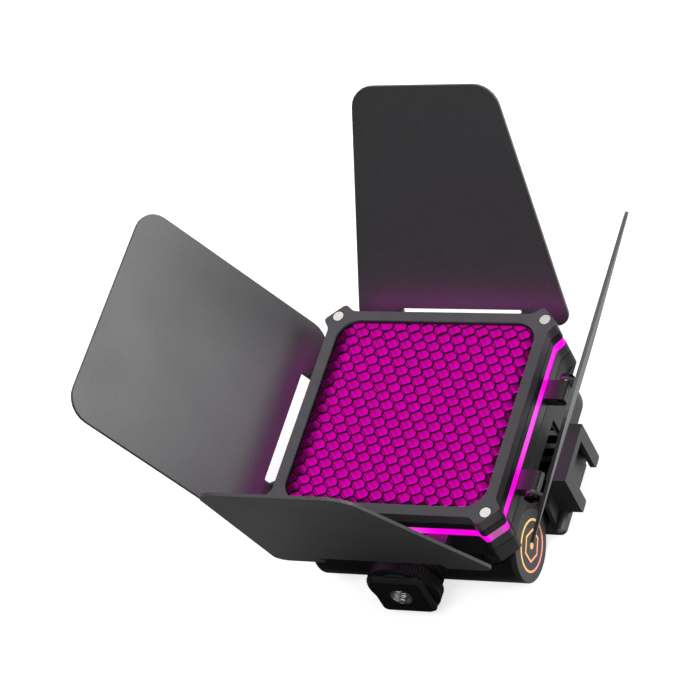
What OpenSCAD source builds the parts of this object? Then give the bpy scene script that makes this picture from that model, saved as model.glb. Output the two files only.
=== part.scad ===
// Pocket LED light with a magnetic four-leaf barn door, a honeycomb grid, a shoe foot and a side shoe.
// Frame: +Z is the beam direction, +X the light's right side seen from the front, -Y the side with the
// battery tube and the foot. The origin is on the beam axis, on the lamp face under the barn door frame.

/* [Square outline] */
// Half width of the stacked frames across their flat sides
side_half = 37; // [35.5:0.5:38]
// Distance from the beam axis to the pointed end of a corner ear, before rounding
ear_half = 39.5; // [39:0.5:41]
// How far along the side an ear's flank meets the ear's pointed end
ear_point = 33.6; // [33:0.2:34.2]
// Where an ear's flank leaves the flat side
ear_start = 30.2; // [29:0.2:30.6]
// Half spacing of the corner magnets
magnet_half = 35; // [34.6:0.1:35.2]

/* [Stack heights] */
// Top of the barn door frame above the lamp face
door_frame_top = 4; // [3.6:0.1:4.4]
// Thickness of the translucent diffuser plate
diffuser_t = 3.3; // [2.6:0.1:3.6]
// Thickness of the retaining ring in front of the diffuser
ring_t = 2.6; // [2.4:0.1:3]
// Thickness of the honeycomb grid's frame
grid_t = 4.3; // [3.8:0.1:5]
// Height of the shadow gap between parts that pull apart
seam_h = 0.35; // [0.2:0.05:0.5]

/* [Openings] */
// Half width of the grid frame's opening
grid_open_half = 33.5; // [32.5:0.1:33.6]
// Corner radius of the grid frame's opening
grid_open_r = 7; // [6:0.5:9]
// Half width of the opening in the ring and the door frame
ring_open_half = 31.5; // [30:0.5:32]
// Corner radius of the opening in the ring and the door frame
ring_open_r = 9; // [8.5:0.5:10]

/* [Honeycomb] */
// Distance between neighbouring cells along a row
cell_pitch = 4.63; // [4:0.05:6]
// Distance between rows
row_pitch = 3.35; // [3:0.05:4.5]
// Thickness of a cell wall
cell_wall = 0.45; // [0.3:0.05:0.8]

/* [Hinges] */
// Distance from the beam axis to each hinge axis
hinge_out = 42.1; // [41.8:0.1:43]
// Inner and outer ends of a hinge lug along the hinge axis
lug_in = 13; // [10:0.5:15]
lug_out = 19.9; // [18:0.1:20.5]
// Radius of a hinge screw's shank
hinge_screw_r = 1; // [0.8:0.05:1]

/* [Leaves] */
// Sheet thickness of a leaf
leaf_t = 1; // [0.6:0.1:1.2]
// Distance from the hinge axis to a leaf's inner face
leaf_offset = 3.3; // [3.1:0.1:3.6]
// Top and bottom leaves: length from the hinge axis, width at the hinge and at the free edge
long_leaf_len = 77.4; // [60:0.2:80]
long_leaf_root = 72.8; // [70:0.2:74]
long_leaf_tip = 47.2; // [40:0.2:60]
// Left and right leaves: length from the hinge axis and width
side_leaf_len = 75.2; // [60:0.2:78]
side_leaf_w = 76.5; // [70:0.5:77]
// Fold of each leaf as built: 0 lies flat, 90 stands along the beam
top_fold = 61.5; // [30:0.5:90]
right_fold = 63.6; // [30:0.2:90]
bottom_fold = 70.8; // [30:0.2:90]
left_fold = 60.9; // [30:0.1:90]

/* [Lamp] */
// Depth of the lamp body behind its face
lamp_depth = 23; // [22.5:0.5:25]
// Depth of the lamp's corner ears, before they slope back into the body
lamp_ear_depth = 6; // [5.5:0.5:7]
// Half width of the lamp's rear housing
rear_half = 36.8; // [36.4:0.1:36.9]

/* [Battery tube] */
// Radius of the tube
tube_r = 11.35; // [11:0.05:11.5]
// Place of the tube's axis
tube_y = -26.8; // [-27.2:0.1:-26.4]
tube_z = -16; // [-16.4:0.1:-15.8]
// Right and left ends of the tube with its caps
tube_right = 37.1; // [37:0.1:38]
tube_left = -32; // [-33:0.1:-31.6]

/* [Shoe foot] */
// Width and length of the shoe foot
foot_w = 18.3; // [17.9:0.1:18.6]
foot_len = 17; // [14:0.5:18]
// Thickness of the shoe foot
foot_t = 2; // [1.8:0.1:2]
// Radius of the knurled lock wheel
wheel_r = 11.7; // [11:0.1:12.5]
// Height of the knurled lock wheel
wheel_h = 4; // [3.4:0.1:4]
// Number of ribs round the lock wheel
wheel_ribs = 72; // [48:1:90]

/* [Side shoe] */
// Height of the centre of the side shoe
shoe_y = 0.4; // [-1:0.1:2]
// Width of the slot that takes a shoe foot, and of the gap between its lips
shoe_slot_w = 18.7; // [18.6:0.05:18.9]
shoe_lip_gap = 11.8; // [11:0.1:13]
// Depth of the slot under the lips
shoe_slot_t = 2.1; // [2.05:0.05:2.3]

/* [Hidden] */
$fn = 48;

tiny = 0.02;          // gap between faces of parts that separate
eps = 0.01;           // overshoot of a cut past a face
ear_flat_inset = 0.6; // how far a seam is set back from the outline

grid_bottom = door_frame_top + diffuser_t + ring_t;
stack_top = grid_bottom + grid_t;
ring_bottom = door_frame_top + diffuser_t;

magnet_r = 1.75;
magnet_pocket_r = 1.95;
magnet_set = 0.06;      // how far a magnet's face lies below the surface round it
magnet_floor = 0.8;     // what is left under a pocket in the grid frame
pocket_t = 2.2;         // depth of the pockets in the lamp and the door frame
ring_pocket_t = 1.8;    // depth of the pockets in the retaining ring

screw_half = 31.4;      // half spacing of the ring's screws
screw_shank_r = 0.9;
screw_pilot_r = 0.95;
screw_clear_r = 1.1;
screw_head_r = 1.8;
screw_head_h = 1;
screw_pocket_r = 2;
screw_pocket_t = 1.2;

lug_r = (door_frame_top - seam_h) / 2;
hinge_z = door_frame_top - lug_r;
lug_mid = (lug_in + lug_out) / 2;
tab_in = lug_out + 0.35;
tab_r = 2.2;
long_leaf_notch = 2.9; // how far the cut between the tabs reaches past the hinge axis
side_leaf_notch = 4.1;
notch_r = 0.5;
washer_t = 0.29;
hinge_head_r = 2.3;
hinge_head_h = 1.6;
leaf_tip_r = 8;
long_leaf_root_r = 4;
side_leaf_root_r = 8;

boss_y = -38.4;    // face of the round boss under the tube
boss_r = 10.8;
pad_t = 0.5;
foot_face_y = -47.3;
foot_back_y = foot_face_y + foot_t;
wheel_bottom_y = foot_back_y + 0.2; // the wheel is screwed down to the foot
wheel_top_y = wheel_bottom_y + wheel_h;
post_r = 4.5;
flange_r = 7.5;
flange_h = 1.2;
flange_top_y = boss_y - pad_t - tiny;
stud_r = 3.1;
thread_r = 3.175; // quarter inch camera thread
insert_r = 3.6;
insert_inner_y = -42.5;
cell_r = 8.2;
cell_len = 65;
cell_lift = 1.5;
tube_inner_r = tube_r - 1.4;
bush_inner_y = tube_y + cell_lift - cell_r - 0.15;
bush_r = 4.6;

shoe_back_x = 40.6;   // the shoe's plate stands clear of the vents
shoe_arm_x = 38.4;    // and is thicker where it joins the wing
shoe_arm_z = -14;
shoe_outer_x = 47;
shoe_half = 10.4;
shoe_front_z = -5.8;
shoe_rear_z = -23.2;
shoe_lip_t = 1.7;
wing_t = 2.6;
wing_inner_x = 20;
wing_low_y = -16.5;

// ---------- shared outlines ----------

// Points of an arc about c from angle a0 to a1
function arc(c, r, a0, a1, n) =
    [for (i = [0:n])
        let (a = a0 + (a1 - a0) * i / n)
        c + r * [cos(a), sin(a)]];
function unit(v) = v / norm(v);

// The corner b between a and c, cut back and rounded with radius r
function corner(a, b, c, r, n = 6) =
    let (u = unit(a - b), w = unit(c - b))
    let (half = acos(u * w) / 2)
    let (reach = r / tan(half))
    let (centre = b + unit(u + w) * r / sin(half))
    let (p = b + u * reach - centre, q = b + w * reach - centre)
    let (a0 = atan2(p[1], p[0]), a1 = atan2(q[1], q[0]))
    let (turn = a1 - a0)
    let (sweep = turn > 180 ? turn - 360 : turn < -180 ? turn + 360 : turn)
    r <= 0 ? [b] : arc(centre, r, a0, a0 + sweep, n);

// A closed outline with its own radius at every corner
function rounded(points, radii) =
    let (count = len(points))
    [for (i = [0:count - 1])
        each corner(points[(i + count - 1) % count], points[i], points[(i + 1) % count], radii[i])];

// The corners of one quarter of the eared outline, and the radii that go with them
function ear_points(inset) =
    [[side_half - inset, ear_start], [ear_half - inset, ear_point],
     [ear_point, ear_half - inset], [ear_start, side_half - inset]];
ear_radii = [3, 1.4, 1.4, 3];
function quarter_turn(p, k) =
    let (c = cos(90 * k), s = sin(90 * k))
    [p[0] * c - p[1] * s, p[0] * s + p[1] * c];

module eared_square(inset = 0) {
    points = [for (k = [0:3]) each [for (p = ear_points(inset)) quarter_turn(p, k)]];
    radii = [for (k = [0:3]) each ear_radii];
    polygon(rounded(points, radii));
}

module rounded_square(half_x, half_y, r) {
    square([2 * half_x - 2 * r, 2 * half_y], center = true);
    square([2 * half_x, 2 * half_y - 2 * r], center = true);
    for (x = [-1, 1], y = [-1, 1])
        translate([x * (half_x - r), y * (half_y - r)]) circle(r);
}

// An outline given in X and Y, drawn out along Z
module slab(z0, z1) {
    translate([0, 0, z0]) linear_extrude(z1 - z0) children();
}

// An outline given in Y and Z, drawn out along X
module slab_x(x0, x1) {
    translate([x0, 0, 0]) rotate([90, 0, 90]) linear_extrude(x1 - x0) children();
}

// Repeats its children at each place
module at_each(places) {
    for (p = places) translate([p[0], p[1], 0]) children();
}

// Repeats its children at the four corners of a square
module at_corners(half) {
    at_each([for (x = [-half, half], y = [-half, half]) [x, y]]) children();
}

module rod(r, z0, z1) {
    translate([0, 0, z0]) cylinder(h = z1 - z0, r = r);
}

// A rod along X or along Y
module rod_x(r, x0, x1, y = 0, z = 0) {
    translate([x0, y, z]) rotate([0, 90, 0]) cylinder(h = x1 - x0, r = r);
}
module rod_y(r, y0, y1, x = 0, z = tube_z) {
    translate([x, y1, z]) rotate([90, 0, 0]) cylinder(h = y1 - y0, r = r);
}

// Turns a part drawn at the top side to side k: 0 top, 1 right, 2 bottom, 3 left
module to_side(k) {
    rotate([0, 0, -90 * k]) children();
}

// A cross recess cut down into a screw head at height z
module cross_recess(size, depth, z) {
    for (a = [0, 90])
        rotate([0, 0, a]) translate([-size / 2, -size / 8, z - depth]) cube([size, size / 4, depth + 1]);
}

// A pan head screw pointing down -Z, its head resting on z = 0
module pan_screw(head_r, head_h, shank_r, shank_len) {
    difference() {
        union() {
            intersection() {
                rod(head_r, 0, head_h);
                translate([0, 0, head_h - 1.9 * head_r]) sphere(1.9 * head_r);
            }
            rod(shank_r, -shank_len, eps);
        }
        cross_recess(head_r * 1.2, head_h * 0.6, head_h);
    }
}

// A small screw driven up from a face at height z, its head sunk below that face
module small_screw(z, shank_len) {
    translate([0, 0, z + screw_pocket_t - tiny]) rotate([180, 0, 0])
        pan_screw(screw_head_r, screw_head_h, screw_shank_r, shank_len);
}

// The hole that a small screw passes through, with the pocket for its head
module screw_seat(z, through) {
    rod(screw_clear_r, z - 1, z + through);
    rod(screw_pocket_r, z - 1, z + screw_pocket_t);
}

// ---------- honeycomb grid ----------

module grid_frame() {
    color("#3f3f41") difference() {
        union() {
            slab(grid_bottom + tiny, grid_bottom + seam_h) eared_square(ear_flat_inset);
            slab(grid_bottom + seam_h - eps, stack_top) eared_square();
        }
        slab(grid_bottom - 1, stack_top + 1)
            rounded_square(grid_open_half, grid_open_half, grid_open_r);
        at_corners(magnet_half) rod(magnet_pocket_r, grid_bottom + magnet_floor, stack_top + 1);
    }
}

module grid_magnets() {
    color("#e9e6e4") at_corners(magnet_half)
        rod(magnet_r, grid_bottom + magnet_floor + tiny, stack_top - magnet_set);
}

core_top = stack_top - 0.7;              // the film lies a little below the frame's face
core_bottom = grid_bottom - 1.7;         // and reaches down into the retaining ring
core_half = ring_open_half - 0.3;
core_step_z = grid_bottom + 0.8;
core_step_half = grid_open_half - 0.1;
cell_rows = floor(2 * core_half / row_pitch);
cell_cols = floor(2 * core_half / cell_pitch);

// One cell: a hexagon with a point up, squashed to fit the row pitch
module cell() {
    reach = (cell_pitch - cell_wall) / 2;
    rise = (row_pitch - cell_wall * 0.87) * 2 / 3;
    side = rise / 2;
    polygon([[0, rise], [reach, side], [reach, -side], [0, -rise], [-reach, -side], [-reach, side]]);
}

// Every second row has one cell fewer and is shifted by half a cell
module cells() {
    for (row = [0:cell_rows - 1]) {
        last = cell_cols - 1 - row % 2;
        for (col = [0:last])
            translate([(col - last / 2) * cell_pitch, (row - (cell_rows - 1) / 2) * row_pitch]) cell();
    }
}

module honeycomb_core() {
    color("#1b1a1b") difference() {
        union() {
            slab(core_bottom, core_top) rounded_square(core_half, core_half, ring_open_r);
            slab(core_step_z, core_top) rounded_square(core_step_half, core_step_half, grid_open_r - 0.1);
        }
        slab(core_bottom - 1, core_top + 1) intersection() {
            cells();
            rounded_square(core_half - cell_wall, core_half - cell_wall, ring_open_r - 0.5);
        }
    }
}

// ---------- barn door frame ----------

// The opening that the ring and the door frame share
module ring_opening() {
    rounded_square(ring_open_half, ring_open_half, ring_open_r);
}

module retaining_ring() {
    color("#1f1f21") difference() {
        slab(ring_bottom, grid_bottom) eared_square();
        slab(ring_bottom - 1, grid_bottom + 1) ring_opening();
        at_corners(magnet_half) rod(magnet_pocket_r, grid_bottom - ring_pocket_t, grid_bottom + 1);
        at_corners(screw_half) rod(screw_pilot_r, ring_bottom - 1, grid_bottom - 0.9);
    }
}

module ring_magnets() {
    color("#d9d7d5") at_corners(magnet_half)
        rod(magnet_r, grid_bottom - ring_pocket_t + tiny, grid_bottom - magnet_set);
}

module diffuser_plate() {
    color("#ff5cf2") difference() {
        slab(door_frame_top, ring_bottom) eared_square(0.25);
        at_corners(screw_half) rod(screw_clear_r, door_frame_top - 1, ring_bottom + 1);
    }
}

// Places its children at every hinge lug, with +Z along the hinge axis
module at_lugs(along) {
    for (k = [0:3], s = [-1, 1])
        to_side(k) translate([s * along, hinge_out, hinge_z]) rotate([0, 90, 0]) children();
}

// A hinge lug with its foot on the frame's side
module lug() {
    lug_w = lug_out - lug_in;
    foot = hinge_out - side_half + 1;
    cylinder(h = lug_w, r = lug_r, center = true);
    translate([-lug_r, -foot, -lug_w / 2]) cube([2 * lug_r, foot, lug_w]);
}

module barn_door_frame() {
    color("#2a2a2c") difference() {
        union() {
            slab(tiny, seam_h) eared_square(ear_flat_inset);
            slab(seam_h - eps, door_frame_top) eared_square();
            at_lugs(lug_mid) lug();
        }
        slab(-1, door_frame_top + 1) ring_opening();
        at_corners(magnet_half) rod(magnet_pocket_r, -1, pocket_t);
        at_corners(screw_half) screw_seat(0, door_frame_top + 1);
        at_lugs(lug_mid) cylinder(h = lug_out - lug_in + 1, r = hinge_screw_r + 0.02, center = true);
    }
}

module frame_magnets() {
    color("#d9d7d5") at_corners(magnet_half) rod(magnet_r, magnet_set, pocket_t - tiny);
}

module ring_screws() {
    color("#2b2b2b") at_corners(screw_half) small_screw(0, grid_bottom - 2.4);
}

module hinge_screws() {
    head_seat = tab_in + leaf_t + 0.04;
    shank_len = head_seat - lug_in - 0.5;
    color("#161616") for (k = [0:3], s = [0, 1])
        to_side(k) translate([0, hinge_out, hinge_z]) rotate([0, 0, 180 * s])
            translate([head_seat, 0, 0]) rotate([0, 90, 0])
                pan_screw(hinge_head_r, hinge_head_h, hinge_screw_r, shank_len);
}

module hinge_washers() {
    color("#8d8d8d") at_lugs(lug_out + 0.03 + washer_t / 2) difference() {
        cylinder(h = washer_t, r = lug_r, center = true);
        cylinder(h = 1, r = hinge_screw_r + 0.1, center = true);
    }
}

// ---------- leaves ----------

// A leaf in its own frame: the hinge axis is X, the sheet runs along +Y and lies below the axis
module leaf(root_w, tip_w, length, notch, root_r) {
    points = [[-root_w / 2, -tab_r], [-tab_in, -tab_r], [-tab_in, notch], [tab_in, notch],
              [tab_in, -tab_r], [root_w / 2, -tab_r], [tip_w / 2, length], [-tip_w / 2, length]];
    radii = [root_r, 0, notch_r, notch_r, 0, root_r, leaf_tip_r, leaf_tip_r];
    difference() {
        union() {
            translate([0, 0, -leaf_offset - leaf_t]) linear_extrude(leaf_t) polygon(rounded(points, radii));
            for (s = [-1, 1]) translate([s * (tab_in + leaf_t / 2), 0, 0]) {
                rotate([0, 90, 0]) cylinder(h = leaf_t, r = tab_r, center = true);
                translate([-leaf_t / 2, -tab_r, -leaf_offset - leaf_t])
                    cube([leaf_t, 2 * tab_r, leaf_offset + leaf_t]);
            }
        }
        for (s = [-1, 1]) translate([s * (tab_in + leaf_t / 2), 0, 0]) rotate([0, 90, 0])
            cylinder(h = leaf_t + 1, r = hinge_screw_r + 0.06, center = true);
    }
}

module hung_leaf(k, fold) {
    to_side(k) translate([0, hinge_out, hinge_z]) rotate([fold, 0, 0]) children();
}
module long_leaf() {
    leaf(long_leaf_root, long_leaf_tip, long_leaf_len, long_leaf_notch, long_leaf_root_r);
}
module side_leaf() {
    leaf(side_leaf_w, side_leaf_w, side_leaf_len, side_leaf_notch, side_leaf_root_r);
}

module top_leaf() {
    color("#3a3a3b") hung_leaf(0, top_fold) long_leaf();
}
module right_leaf() {
    color("#48484a") hung_leaf(1, right_fold) side_leaf();
}
module bottom_leaf() {
    color("#3a3a3b") hung_leaf(2, bottom_fold) long_leaf();
}
module left_leaf() {
    color("#48484a") hung_leaf(3, left_fold) side_leaf();
}

// ---------- lamp ----------

window_half = 31;
window_r = 8;
front_z = -5;            // joint of the front and rear housings
cover_z = -lamp_depth + 2; // joint of the rear housing and the rear cover
housing_r = 9;
wall = 2.4;
board_z = -3.3;
board_t = 1.2;
sink_z = board_z - board_t - 0.05;
sink_low_y = tube_y + tube_r + 1.2;
fan_y = 8;
fan_half = 15;
fan_front_z = -12.4;
fan_rear_z = -18.4;
fan_shaft_r = 1.2;
fan_hub_r = 6;
control_z = -18.45;        // front face of the control board
control_t = 1.2;
control_left = -28;
control_right = 22;
control_top = 33;
encoder_half = 4.5;
encoder_h = 3.2;
switch_half = 2.2;
switch_h = 0.45;
cover_screw_places = [for (x = [-32, 32], y = [-9.5, 31.5]) [x, y]];
shoe_screw_places = [[26, 4.5], [26, -7.5]];
dial_x = 4;
dial_y = 28;
dial_shaft_r = 1.5;
dial_r = 6.5;
display_x = -17;
display_y = 22;
display_half = [11, 7];
display_r = 1.5;
button_y = 2;
mode_x = -22;
power_x = -10;
button_r = 2.5;
usb_y = 8;
usb_z = -16.8;
usb_len = 9;
usb_half_w = 4.45;
usb_half_h = 1.6;
far = 60; // beyond the part on every side

// The space that the tube and its boss take out of the housings
module tube_clearance() {
    rod_x(tube_r + 0.05, -far, far, tube_y, tube_z);
    rod_y(boss_r + 0.05, -far, tube_y - 7);
}

module front_housing() {
    color("#2c2c2e") difference() {
        union() {
            slab(front_z, 0) eared_square();
            intersection() {
                union() {
                    slab(-lamp_ear_depth, front_z + eps) eared_square();
                    housing_ears();
                }
                below_tube(-lamp_depth, front_z + eps);
            }
        }
        slab(-1.05, 1) rounded_square(window_half + 0.1, window_half + 0.1, window_r);
        slab(front_z - 1, 0) rounded_square(window_half - 1, window_half - 1, window_r - 1);
        slab(front_z - 1, board_z + 0.1) rounded_square(window_half + 0.1, window_half + 0.1, window_r);
        at_corners(magnet_half) rod(magnet_pocket_r, -pocket_t, 1);
        tube_clearance();
    }
}

module lamp_magnets() {
    color("#d9d7d5") at_corners(magnet_half) rod(magnet_r, -pocket_t + tiny, -magnet_set);
}

module lamp_window() {
    color("#f4c9f1") slab(-1.03, -0.1) rounded_square(window_half, window_half, window_r);
}

module reflector_frame() {
    color("#f0f0ee") difference() {
        slab(board_z + 0.02, -1.07) rounded_square(window_half - 1.1, window_half - 1.1, window_r - 1.1);
        slab(board_z - 1, 0) rounded_square(window_half - 3, window_half - 3, window_r - 3);
    }
}

module led_board() {
    color("#e8e8e0") slab(board_z - board_t, board_z) rounded_square(window_half, window_half, window_r);
}

module led_chips() {
    pitch = 9;
    chip = 3.5;
    color("#ffe9a8") for (x = [-2.5:2.5], y = [-2.5:2.5])
        translate([x * pitch - chip / 2, y * pitch - chip / 2, board_z + 0.02]) cube([chip, chip, 0.8]);
}

module heat_sink() {
    half = 28.5;
    depth = 7.6;
    base = 1.6;
    fin = 1.1;
    fins = 15;
    step = (2 * half - fin) / (fins - 1);
    length = half - sink_low_y;
    color("#b9bcc0") {
        translate([-half, sink_low_y, sink_z - base]) cube([2 * half, length, base]);
        for (i = [0:fins - 1])
            translate([i * step - half, sink_low_y + 1, sink_z - depth]) cube([fin, length - 2, depth]);
    }
}

module fan_frame() {
    spoke_w = 1.8;
    spoke_t = 0.8;
    spoke_len = fan_half - fan_hub_r + 1.2;
    color("#1c1c1c") translate([0, fan_y, 0]) {
        difference() {
            slab(fan_rear_z, fan_front_z) rounded_square(fan_half, fan_half, 3);
            rod(fan_half - 1.6, fan_rear_z - 1, fan_front_z + 1);
            at_corners(fan_half - 2.2) rod(screw_clear_r, fan_rear_z - 1, fan_front_z + 1);
        }
        rod(fan_hub_r - 0.5, fan_rear_z, fan_rear_z + spoke_t);
        for (a = [30, 150, 270]) rotate([0, 0, a])
            translate([fan_hub_r - 2, -spoke_w / 2, fan_rear_z]) cube([spoke_len, spoke_w, spoke_t]);
        rod(fan_shaft_r, fan_rear_z + spoke_t / 2, fan_front_z - 1);
    }
}

module fan_rotor() {
    blades = 9;
    blade = [fan_half - fan_hub_r - 1.9, 1, 4.4];
    blade_lean = 35;
    blade_z = (fan_rear_z + fan_front_z) / 2;
    color("#2a2a2a") translate([0, fan_y, 0]) difference() {
        union() {
            rod(fan_hub_r, fan_rear_z + 1.1, fan_front_z - 0.4);
            for (i = [0:blades - 1]) rotate([0, 0, i * 360 / blades])
                translate([fan_hub_r - 0.6, 0, blade_z]) rotate([blade_lean, 0, 0])
                    translate([0, -blade[1] / 2, -blade[2] / 2]) cube(blade);
        }
        rod(fan_shaft_r + 0.06, fan_rear_z - 1, fan_front_z + 1);
    }
}

module control_board() {
    low = sink_low_y + 1;
    color("#1f5a38") difference() {
        translate([control_left, low, control_z - control_t])
            cube([control_right - control_left, control_top - low, control_t]);
        translate([dial_x, dial_y, 0]) rod(dial_shaft_r + 0.3, control_z - 2, control_z + 1);
    }
}

module dial_encoder() {
    color("#9a9ea3") translate([dial_x, dial_y, 0]) difference() {
        slab(control_z + tiny, control_z + encoder_h) square(2 * encoder_half, center = true);
        rod(dial_shaft_r + 0.06, control_z - 1, control_z + encoder_h + 1);
    }
}

module tact_switches() {
    switch_top = control_z - control_t - tiny;
    color("#303236") at_each([[mode_x, button_y], [power_x, button_y]])
        slab(switch_top - switch_h, switch_top) square(2 * switch_half, center = true);
}

// Slanted vent slots through a side wall, with a shallow recess round them
module side_vents() {
    vent_half = 12.6;
    vent_h = front_z - cover_z - 3.2;
    border = 1;
    recess_t = 0.9;
    slots = 5;
    lean = 35;
    pitch = 2 * (vent_half - border / 2) / slots;
    for (s = [-1, 1]) translate([s * rear_half, 0, (front_z + cover_z) / 2]) {
        cube([2 * recess_t, 2 * vent_half, vent_h], center = true);
        intersection() {
            for (i = [-1:slots]) translate([0, (i - (slots - 1) / 2) * pitch, 0])
                rotate([lean, 0, 0]) cube([4 * wall, pitch * 0.52, 2 * vent_h], center = true);
            cube([2 * wall + 2, 2 * (vent_half - border), vent_h - 2 * border], center = true);
        }
    }
}

// The corner ears, sloping back to the housing's sides
module housing_ears() {
    slope_end = -lamp_ear_depth - 4.5;
    for (k = [0:3]) rotate([0, 0, 90 * k]) hull() {
        slab(-lamp_ear_depth - 0.1, -lamp_ear_depth) intersection() {
            eared_square();
            translate([28, 28]) square(20);
        }
        slab(slope_end - 0.1, slope_end) intersection() {
            rounded_square(rear_half, rear_half, housing_r);
            translate([26, 26]) square(20);
        }
    }
}

// Everything on the tube's outer side, which the front housing covers
module below_tube(z0, z1) {
    translate([-far, tube_y - far, z0]) cube([2 * far, far, z1 - z0]);
}

module rear_housing() {
    inner_half = rear_half - wall;
    color("#2c2c2e") difference() {
        union() {
            slab(-lamp_ear_depth, front_z - tiny) eared_square();
            slab(cover_z, front_z - tiny) rounded_square(rear_half, rear_half, housing_r);
            housing_ears();
        }
        difference() {
            slab(cover_z - 1, front_z + 1) rounded_square(inner_half, inner_half, housing_r - wall);
            at_each(cover_screw_places) rod(2.6, cover_z - 1, cover_z + 11);
        }
        at_each(cover_screw_places) rod(screw_pilot_r, cover_z - 1, cover_z + 7);
        tube_clearance();
        below_tube(cover_z - 1, front_z + 1);
        side_vents();
        translate([-rear_half, usb_y, usb_z])
            cube([2 * wall + 1, 2 * usb_half_w + 0.3, 2 * usb_half_h + 0.3], center = true);
    }
}

module rear_cover() {
    color("#29292b") difference() {
        union() {
            slab(-lamp_depth, cover_z - tiny) rounded_square(rear_half, rear_half, housing_r);
            at_each(shoe_screw_places) rod(2.2, cover_z - 1, cover_z + 2.5);
        }
        at_each(cover_screw_places) screw_seat(-lamp_depth, lamp_depth);
        at_each(shoe_screw_places) rod(screw_pilot_r, -lamp_depth - 1, cover_z + 1.8);
        translate([dial_x, dial_y, 0]) rod(dial_shaft_r + 0.3, -lamp_depth - 1, cover_z + 1);
        at_each([[mode_x, button_y], [power_x, button_y]]) rod(button_r + 0.1, -lamp_depth - 1, cover_z + 1);
        translate([display_x, display_y, 0]) {
            slab(-lamp_depth - 1, -lamp_depth + 0.9)
                rounded_square(display_half[0] + 0.1, display_half[1] + 0.1, display_r);
            slab(-lamp_depth - 1, cover_z + 1)
                rounded_square(display_half[0] - 1.5, display_half[1] - 1.5, display_r - 0.5);
        }
        tube_clearance();
        below_tube(-lamp_depth - 1, cover_z + 1);
    }
}

module cover_screws() {
    color("#242424") at_each(cover_screw_places) small_screw(-lamp_depth, 6.5);
}

module display_window() {
    color("#0a0a0c") slab(-lamp_depth + 0.05, -lamp_depth + 0.88)
        translate([display_x, display_y]) rounded_square(display_half[0], display_half[1], display_r - 0.1);
}

// A disc with fine ribs round its rim
module ribbed_disc(r, rib_depth, ribs) {
    polygon([for (i = [0:2 * ribs - 1])
        let (a = 180 * i / ribs)
        (r - rib_depth * (i % 2)) * [cos(a), sin(a)]]);
}

module control_dial() {
    color("#202022") translate([dial_x, dial_y, 0]) {
        slab(-lamp_depth - 3.4, -lamp_depth - 0.3) ribbed_disc(dial_r, 0.35, 36);
        slab(-lamp_depth - 3.9, -lamp_depth - 3.4 + eps) circle(dial_r - 0.7);
        rod(dial_shaft_r, -lamp_depth - 0.3 - eps, control_z + encoder_h - 0.5);
    }
}

// A round push button in the rear cover with a flange behind it
module push_button(x) {
    translate([x, button_y, 0]) {
        rod(button_r, -lamp_depth - 0.9, cover_z + 0.25);
        rod(button_r + 0.7, cover_z + 0.05, cover_z + 0.35);
    }
}

module mode_button() {
    color("#3b3b3e") push_button(mode_x);
}

module power_button() {
    color("#b3262b") push_button(power_x);
}

module usb_socket() {
    shell = 0.35;
    tongue_half_w = 3.3;
    tongue_t = 0.7;
    color("#c9ccd0") translate([-rear_half + 0.3, usb_y, usb_z]) rotate([0, 90, 0]) {
        difference() {
            linear_extrude(usb_len) rounded_square(usb_half_h, usb_half_w, usb_half_h - 0.05);
            translate([0, 0, -1]) linear_extrude(usb_len)
                rounded_square(usb_half_h - shell, usb_half_w - shell, usb_half_h - shell - 0.05);
        }
        translate([-tongue_t / 2, -tongue_half_w, 0.8]) cube([tongue_t, 2 * tongue_half_w, usb_len - 1.3]);
    }
}

// ---------- battery tube ----------

cap_t = 1.8;

module tube_housing() {
    color("#232325") difference() {
        union() {
            rod_x(tube_r, tube_left + cap_t + tiny, tube_right - cap_t - tiny, tube_y, tube_z);
            rod_y(boss_r, boss_y, tube_y - 8);
        }
        difference() {
            rod_x(tube_inner_r, -far, far, tube_y, tube_z);
            rod_y(bush_r + 1.2, boss_y - 1, bush_inner_y);
        }
        rod_y(bush_r, boss_y - 1, bush_inner_y + 1);
    }
}

// A cap with a plug that fits inside the tube; outwards is +Z
module tube_cap(edge_r) {
    rod(tube_inner_r - 0.05, -2.2, eps);
    rotate_extrude() {
        square([tube_r - edge_r, cap_t]);
        square([tube_r, cap_t - edge_r]);
        intersection() {
            translate([tube_r - edge_r, cap_t - edge_r]) circle(edge_r);
            square([tube_r + 1, cap_t + 1]);
        }
    }
}

module right_tube_cap() {
    color("#3c3c3e") difference() {
        translate([tube_right - cap_t, tube_y, tube_z]) rotate([0, 90, 0]) tube_cap(0.3);
        battery_space();
    }
}

module left_tube_cap() {
    color("#2c2c2e") difference() {
        translate([tube_left + cap_t, tube_y, tube_z]) rotate([0, -90, 0]) tube_cap(1.6);
        battery_space();
    }
}

cell_mid = (tube_left + tube_right) / 2;
cell_start = cell_mid - cell_len / 2;
cell_end = cell_mid + cell_len / 2;
cell_y = tube_y + cell_lift;

module battery_space() {
    rod_x(cell_r + 0.1, cell_start - 0.1, cell_end + 0.1, cell_y, tube_z);
}

module battery_cell() {
    color("#3a78b5") {
        rod_x(cell_r, cell_start, cell_end - 0.8, cell_y, tube_z);
        rod_x(2.8, cell_end - 1, cell_end, cell_y, tube_z);
    }
}

// A plain ring with a hexagon in it, raised on the right cap
module cap_emblem() {
    line = 0.7;
    ring_r = 8.2;
    hexagon_r = 5.2;
    dot_r = 1.1;
    color("#d9b36a") translate([tube_right, tube_y, tube_z]) rotate([0, 90, 0]) linear_extrude(0.15) {
        difference() {
            circle(ring_r);
            circle(ring_r - line);
        }
        difference() {
            circle(hexagon_r, $fn = 6);
            circle(hexagon_r - line, $fn = 6);
        }
        circle(dot_r);
    }
}

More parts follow.
